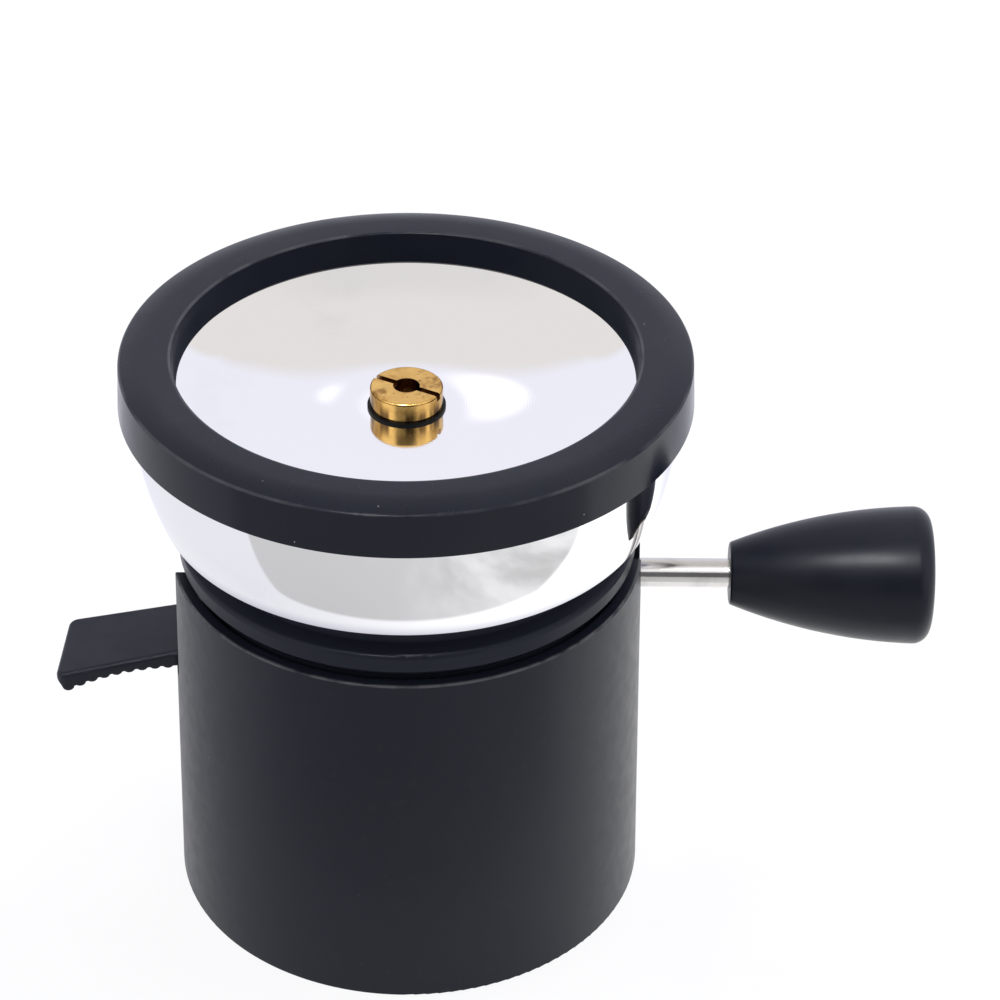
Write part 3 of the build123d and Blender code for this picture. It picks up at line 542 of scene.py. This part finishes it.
SLOT_MATERIALS = {
    "foot_rubber": rubber(),
    "tank_chrome": chrome(),
    "plate_mirror": mirror(),
    "valve_brass": brass(),
    "seal_rubber": moulded(
        "seal_rubber",
        (0.004, 0.0045, 0.006),
        (0.008, 0.0085, 0.01),
        gloss=(0.4, 0.55),
        grain=2400,
        specular=0.15,
    ),
    "filter_bronze": bronze_filter(),
    "shield_paint": paint(),
    "housing_plastic": moulded(
        "housing_plastic",
        (0.0150, 0.0172, 0.0260),
        (0.0178, 0.0198, 0.0280),
        gloss=(0.28, 0.36),
        grain=1700,
        specular=0.09,
    ),
    "lever_plastic": moulded(
        "lever_plastic",
        (0.0085, 0.0102, 0.0190),
        (0.0120, 0.0134, 0.0212),
        gloss=(0.40, 0.52),
        grain=2000,
        specular=0.22,
    ),
    "knob_plastic": moulded(
        "knob_plastic",
        (0.0100, 0.0118, 0.0195),
        (0.0134, 0.0148, 0.0215),
        gloss=(0.28, 0.36),
        grain=2200,
        specular=0.16,
    ),
    "rod_steel": steel(
        "rod_steel", (0.66, 0.645, 0.63), gloss=(0.13, 0.19), lines=2600, stretch=(1, 0.05, 0.05)
    ),
    "steel_small": steel("steel_small", (0.60, 0.59, 0.57), gloss=(0.22, 0.36), lines=1600),
    "burner_steel": burner_steel(),
    "piezo_plastic": moulded(
        "piezo_plastic", (0.05, 0.05, 0.055), (0.07, 0.07, 0.075), gloss=(0.35, 0.5), grain=1600, specular=0.4
    ),
    "plunger_plastic": moulded(
        "plunger_plastic", (0.55, 0.53, 0.48), (0.45, 0.43, 0.38), gloss=(0.35, 0.5), grain=1600, specular=0.4
    ),
    "insulator_ceramic": ceramic(),
    "lead_sleeve": lead_sleeve(),
}

for solid in nodes.values():
    for place in solid.material_slots:
        place.material = SLOT_MATERIALS[place.material.name.split(".")[0]]

# The lever stays out of reflections, so that the tank shows the studio there.
nodes["ignition_lever"].visible_glossy = False


def dress(piece, slot, node):
    """Puts a piece on the burner's body in place of a CAD node."""
    piece.data.materials.append(SLOT_MATERIALS[slot])
    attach(piece, "burner")
    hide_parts(node)


# Tank and base ring, turned in fine facets

RING_MATT = 1
RING_GLOSS = 2


def turn_bowl():
    """The drawn tank: a flat floor, bulging sides and an upright rim."""
    centre_r = bowl_radius - bowl_side_round
    inner_round = bowl_side_round - bowl_wall
    depth = bowl_belly_z - bowl_floor_z
    outer_turn = math.degrees(math.asin(depth / bowl_side_round))
    inner_turn = math.degrees(math.asin((depth - bowl_wall) / inner_round))
    outer_side = arc(centre_r, bowl_belly_z, bowl_side_round, -outer_turn, 0)
    inner_side = arc(centre_r, bowl_belly_z, inner_round, 0, -inner_turn)
    above_foot = bowl_floor_z + bowl_foot_height
    profile = (
        [(bowl_hole, bowl_floor_z), (*outer_side[0], bowl_foot_round)]
        + [spot for spot in outer_side if spot[1] > above_foot]
        + [(bowl_radius, bowl_rim_z, bowl_rim_round), (bowl_radius - bowl_wall, bowl_rim_z, bowl_rim_round)]
        + [spot for spot in inner_side if spot[1] > above_foot]
        + [(*inner_side[-1], bowl_foot_inner_round), (bowl_hole, bowl_floor_z + bowl_wall)]
    )
    dress(lathe("tank_bowl_drawn", profile), "tank_chrome", "tank_bowl")


def turn_plate():
    """The bottom plate: dished, with a turned-up edge.

    Gives the profile point where the ring's inner wall stands on it.
    """
    dish_z = plate_edge_z + math.sqrt(plate_dish_round**2 - (plate_radius - plate_land) ** 2)
    plate_z = dish_z - plate_dish_round
    lift_reach = plate_lift_radius - plate_land
    dish_turn = math.degrees(math.asin(lift_reach / plate_dish_round))
    rounds_apart = plate_dish_round - plate_lift_round
    lift_r = plate_land + lift_reach * rounds_apart / plate_dish_round
    lift_z = dish_z - math.cos(math.radians(dish_turn)) * rounds_apart
    lowest = -90
    dish_end = lowest + dish_turn
    lift_end = lowest + plate_lift_slope
    lift = arc(lift_r, lift_z, plate_lift_round, dish_end, lift_end)
    profile = (
        [(plate_hole, plate_z)]
        + arc(plate_land, dish_z, plate_dish_round, lowest, dish_end)
        + lift[1:]
        + [(plate_radius, plate_edge_z), (plate_radius, plate_edge_z - plate_thickness)]
        + arc(lift_r, lift_z, plate_lift_round + plate_thickness, lift_end, dish_end)
        + arc(plate_land, dish_z, plate_dish_round + plate_thickness, dish_end, lowest)[1:]
        + [(plate_hole, plate_z - plate_thickness)]
    )
    dress(lathe("bottom_plate_dished", profile), "plate_mirror", "bottom_plate")
    return lift[-1]


def turn_ring(foot_r, foot_z):
    """The base ring, moulded over the tank's rim: crowned on top, its inner wall leaning in at its foot."""
    crown_round = (ring_crown_width**2 + ring_crown_drop**2) / (2 * ring_crown_drop)
    crown_turn = math.degrees(math.asin(ring_crown_width / crown_round))
    crown_r = ring_outer - ring_crown_width
    highest = 90
    crown = arc(crown_r, ring_top_z - crown_round, crown_round, highest - crown_turn, highest)
    grip_inner = bowl_radius - bowl_wall - fit_gap
    grip_outer = bowl_radius + fit_gap
    profile = (
        [
            (foot_r, foot_z + fit_gap),
            (grip_inner, plate_edge_z + fit_gap),
            (grip_inner, bowl_rim_z + fit_gap),
            (grip_outer, bowl_rim_z + fit_gap),
            (grip_outer, bowl_belly_z),
            (ring_outer + ring_flare, bowl_belly_z),
            (ring_outer, ring_top_z - ring_crown_drop, ring_crease_round),
        ]
        + crown[1:]
        + [(ring_inner, ring_top_z, ring_lip_round)]
    )
    ring = lathe("base_ring_moulded", profile)
    dress(ring, "foot_rubber", "base_ring")
    ring.data.materials.append(matt_rubber())
    ring.data.materials.append(gloss_rubber())
    for face in ring.data.polygons:
        if face.center.xy.length < ring_inner * MM:
            face.material_index = RING_MATT
        elif face.center.xy.length > ring_outer * MM:
            face.material_index = RING_GLOSS


turn_bowl()
wall_foot = turn_plate()
turn_ring(*wall_foot)


# Springs

COIL_STEPS = 48
COIL_SIDES = 16
SPRING_WIRE = 0.2 * MM


def wind(name, node, turns):
    """A wound spring that fills its CAD node's box, as a closed tube."""
    low, high = (Vector(corner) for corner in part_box(node))
    middle = (low + high) / 2
    radius = (high.x - low.x) / 2 - SPRING_WIRE
    climb = high.z - low.z - 2 * SPRING_WIRE
    pitch = climb / (2 * math.pi * turns)
    count = round(turns * COIL_STEPS)
    verts = []
    for step in range(count + 1):
        angle = 2 * math.pi * turns * step / count
        outward = Vector((math.cos(angle), math.sin(angle), 0))
        spot = Vector((middle.x, middle.y, low.z + SPRING_WIRE + climb * step / count)) + outward * radius
        heading = Vector((-outward.y * radius, outward.x * radius, pitch)).normalized()
        upward = outward.cross(heading)
        for side in range(COIL_SIDES):
            turn = 2 * math.pi * side / COIL_SIDES
            verts.append(spot + (outward * math.cos(turn) + upward * math.sin(turn)) * SPRING_WIRE)
    faces = []
    for step in range(count):
        here = step * COIL_SIDES
        beyond = here + COIL_SIDES
        for side in range(COIL_SIDES):
            after = (side + 1) % COIL_SIDES
            faces.append((here + side, here + after, beyond + after, beyond + side))
    faces.append(tuple(reversed(range(COIL_SIDES))))
    faces.append(tuple(range(count * COIL_SIDES, (count + 1) * COIL_SIDES)))
    return new_piece(name, verts, faces)


def fit_spring(name, node, turns):
    """Winds a spring in place of its CAD node."""
    spring = wind(name, node, turns)
    dress(spring, "steel_small", node)
    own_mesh(spring)


fit_spring("piezo_spring_wound", "piezo_spring", turns=2.5)
fit_spring("filler_spring_wound", "filler_spring", turns=3)


# Floor, with a painted grey patch in front of the burner that only shiny surfaces see

FLOOR_HALF = 3.0
FLOOR_STRENGTH = 1.12
FLOOR_LIFT = 0.90
# Painted reflections, seen only by glossy rays: the floor is darker to the left and behind, and brighter to
# the right.
FLOOR_LEFT = (0.775, 0.775, 0.825, 1)
FLOOR_RIGHT = (1.20, 1.20, 1.20, 1)
FLOOR_SIDES_X = (-0.09, 0.09)
FLOOR_BACK = (0.75, 0.755, 0.85, 1)
FLOOR_BACK_Y = (0.05, 0.10)

PATCH_COLOUR = (0.50, 0.498, 0.495, 1)
PATCH_EDGE_Y = -0.062
PATCH_EDGE_BLUR = 0.004
PATCH_BOW = 5.0
PATCH_BOW_MOST = 0.022
PATCH_FAN_SLOPE = 0.45
PATCH_FAN_X = 0.03
PATCH_CORNER = 0.02
PATCH_SMOOTH = (0.86, 0.86, 0.86, 1)
PATCH_CREASED_X = (-0.02, 0.05)
PATCH_FRONT = (0.8, 0.8, 0.8, 1)
PATCH_BACK_Y = (-0.20, -0.12)


def patch_share(shade, x, y):
    """How much of the painted grey patch shows: all of it inside its bowed edge and fanned sides, less where
    its crease noise is high.
    """
    bow = shade.maths("MULTIPLY", shade.maths("MULTIPLY", x, x), PATCH_BOW)
    edge_y = shade.maths("ADD", shade.maths("MINIMUM", bow, PATCH_BOW_MOST), PATCH_EDGE_Y)
    aside = shade.maths("ABSOLUTE", shade.maths("SUBTRACT", x, PATCH_FAN_X))
    past_edge = shade.maths("SUBTRACT", y, edge_y)
    past_side = shade.maths("ADD", y, shade.maths("MULTIPLY", aside, PATCH_FAN_SLOPE))
    outside = shade.maths("SMOOTH_MAX", past_edge, past_side, PATCH_CORNER)
    inside = shade.remap(outside, 0.0, -PATCH_EDGE_BLUR)
    creases = shade.noise(scale=24, detail=4, rough=0.55, stretch=(1, 0.35, 1))
    shown = shade.remap(creases, 0.35, 0.70, to_low=1.0, to_high=0.50)
    shown = shade.mix(shade.remap(x, *PATCH_CREASED_X), PATCH_SMOOTH, shown)
    shown = shade.mix(shade.remap(y, *PATCH_BACK_Y), PATCH_FRONT, shown)
    return shade.maths("MULTIPLY", inside, shown)


def floor_finish():
    """Pale floor that keeps the burner's shadow and looks white to the camera."""
    shade = Shade("floor_paper", (0.90, 0.90, 0.91), 0.9, specular=0.1)
    shade.patches((0.885, 0.885, 0.90), scale=30, detail=3, start=0.4, full=0.8)
    x = shade.along("X")
    y = shade.along("Y")
    # Painted reflections for glossy rays: darker to the left and behind, brighter to the right, and a grey
    # patch in front.
    reflected = shade.mix(shade.remap(x, *FLOOR_SIDES_X), FLOOR_LEFT, FLOOR_RIGHT)
    reflected = shade.mix(shade.remap(y, *FLOOR_BACK_Y), reflected, FLOOR_BACK)
    reflected = shade.mix(patch_share(shade, x, y), reflected, PATCH_COLOUR)
    rays = shade.add("ShaderNodeLightPath").outputs
    glow = shade.add("ShaderNodeEmission")
    shade.feed(shade.mix(rays["Is Glossy Ray"], shade.colour, reflected), glow.inputs["Color"])
    glow.inputs["Strength"].default_value = FLOOR_STRENGTH
    seen = shade.maths("MAXIMUM", rays["Is Camera Ray"], rays["Is Glossy Ray"])
    lifted = shade.blend(shade.maths("MULTIPLY", seen, FLOOR_LIFT), shade.shader.outputs[0], glow.outputs[0])
    shade.feed(lifted, shade.tree.nodes["Material Output"].inputs["Surface"])
    return shade.material


corners = [(x * FLOOR_HALF, y * FLOOR_HALF, 0) for x, y in ((-1, -1), (1, -1), (1, 1), (-1, 1))]
floor = new_piece("floor", corners, [(0, 1, 2, 3)])
floor.data.materials.append(floor_finish())


# Sky: white to the camera, soft light on the burner, and a studio that shiny surfaces see

WHITE = (1, 1, 1, 1)
SOFT_COLOUR = (0.97, 0.975, 1.0, 1)
SOFT_STRENGTH = 0.66
BACK_LOW = (0.93, 0.93, 1.02, 1)
BACK_HIGH = (0.845, 0.82, 0.80, 1)
BACK_CHANGE = (0.585, 0.635)
BACK_LEAN_FROM = 0.29
BACK_LEAN = 0.47
ZENITH = (0.79, 0.772, 0.76, 1)
ZENITH_CHANGE = (0.80, 0.97)
OVERHEAD = (1.35, 1.35, 1.36, 1)
BEHIND_CAMERA = (0.16, 0.16, 0.17, 1)
DARK_HEIGHT = (0.66, 0.58)
DARK_WIDTH = (0.60, 0.35)
FRONT_CHANGE = (-0.02, -0.22)
FIRST_MIRROR_DEPTH = 1.5
UNSCATTERED_DEPTH = 0.5


class Sky(Bench):
    """The world's node tree. Its directions are unit vectors, so each part of one is between -1 and 1."""

    def __init__(self, name):
        world = bpy.data.worlds.new(name)
        world.use_nodes = True
        scene.world = world
        super().__init__(world.node_tree)
        self.tree.nodes.clear()
        self.way = self.add("ShaderNodeTexCoord").outputs["Generated"]
        self.rays = self.add("ShaderNodeLightPath").outputs
        self.first_mirror = self.maths("LESS_THAN", self.rays["Glossy Depth"], FIRST_MIRROR_DEPTH)

    def studio(self):
        """A backdrop behind the burner, warmer above, and a dark camera side under a bright ceiling."""
        way = self.split(self.way)
        rise = way["Z"]
        across = self.maths("ABSOLUTE", way["X"])
        spare = self.maths("MAXIMUM", self.maths("SUBTRACT", across, BACK_LEAN_FROM), 0.0)
        leaning_rise = self.maths("ADD", rise, self.maths("MULTIPLY", spare, BACK_LEAN))
        back = self.mix(self.remap(leaning_rise, *BACK_CHANGE), BACK_LOW, BACK_HIGH)
        back = self.mix(self.remap(rise, *ZENITH_CHANGE), back, ZENITH)
        dark = self.maths("MULTIPLY", self.remap(rise, *DARK_HEIGHT), self.remap(across, *DARK_WIDTH))
        front = self.mix(dark, OVERHEAD, BEHIND_CAMERA)
        return self.mix(self.remap(way["Y"], *FRONT_CHANGE), back, front)

    def add_glow(self, colour, azimuth, elevation, inner, outer, lift, tall=1.0):
        """Adds a soft round or upright light that shows in the first mirror a ray meets.

        Azimuth turns from straight behind the burner towards its right. Angles are in degrees.
        """
        turn = math.radians(azimuth)
        lean = math.radians(elevation)
        towards = (math.sin(turn) * math.cos(lean), math.cos(turn) * math.cos(lean), math.sin(lean))
        away = self.vector("MULTIPLY", 0, self.vector("SUBTRACT", 0, self.way, towards), (1, 1, 1 / tall))
        spread = self.vector("LENGTH", "Value", away)
        spot = self.remap(spread, math.radians(outer), math.radians(inner), 0.0, lift)
        return self.mix(1.0, colour, self.maths("MULTIPLY", spot, self.first_mirror), "ADD")

    def backdrop(self, colour, strength=1.0):
        node = self.add("ShaderNodeBackground")
        self.feed(colour, node.inputs["Color"])
        node.inputs["Strength"].default_value = strength
        return node.outputs[0]


sky = Sky("studio")
tone = sky.studio()
tone = sky.add_glow(tone, azimuth=-5.5, elevation=33.5, inner=1.8, outer=3.1, lift=0.30, tall=1.9)
tone = sky.add_glow(tone, azimuth=0.9, elevation=34, inner=0.3, outer=1.2, lift=0.26, tall=2.5)
tone = sky.add_glow(tone, azimuth=195, elevation=61, inner=4, outer=8, lift=50.0)
unscattered = sky.maths("LESS_THAN", sky.rays["Diffuse Depth"], UNSCATTERED_DEPTH)
shiny = sky.maths("MULTIPLY", sky.rays["Is Glossy Ray"], unscattered)
light = sky.blend(shiny, sky.backdrop(SOFT_COLOUR, SOFT_STRENGTH), sky.backdrop(tone))
light = sky.blend(sky.rays["Is Camera Ray"], light, sky.backdrop(WHITE))
sky.feed(light, sky.add("ShaderNodeOutputWorld").inputs["Surface"])


# Lamps and camera

LAMP_AIM = Vector((0, 0, 0.05))


def softbox(name, place, width, height, power):
    """A soft lamp that shiny surfaces don't show."""
    light = bpy.data.lights.new(name, "AREA")
    light.shape = "RECTANGLE"
    light.size = width
    light.size_y = height
    light.energy = power
    lamp = bpy.data.objects.new(name, light)
    lamp.location = place
    lamp.rotation_euler = (LAMP_AIM - Vector(place)).to_track_quat("-Z", "Y").to_euler()
    lamp.visible_glossy = False
    scene.collection.objects.link(lamp)


softbox("key_behind", (0.30, 0.50, 0.95), width=0.9, height=0.6, power=9.0)
softbox("fill_left", (-0.95, -0.15, 0.55), width=0.6, height=0.6, power=3.0)
softbox("fill_right", (0.95, -0.1, 0.6), width=0.6, height=0.6, power=3.0)

CAMERA_PLACE = (0.014143, -0.445207, 0.368805)
CAMERA_DOWN = 34.053
CAMERA_ROLL = 0.581
CAMERA_LENS = 126.72
CAMERA_SENSOR = 36.0

eye = bpy.data.cameras.new("photo_camera")
eye.sensor_width = CAMERA_SENSOR
eye.lens = CAMERA_LENS
camera = bpy.data.objects.new("photo_camera", eye)
tilt = Euler((math.radians(90 - CAMERA_DOWN), 0, 0)).to_matrix()
turned = tilt @ Matrix.Rotation(math.radians(CAMERA_ROLL), 3, "Z")
camera.matrix_world = Matrix.Translation(CAMERA_PLACE) @ turned.to_4x4()
scene.collection.objects.link(camera)
scene.camera = camera
scene.view_settings.view_transform = "Standard"
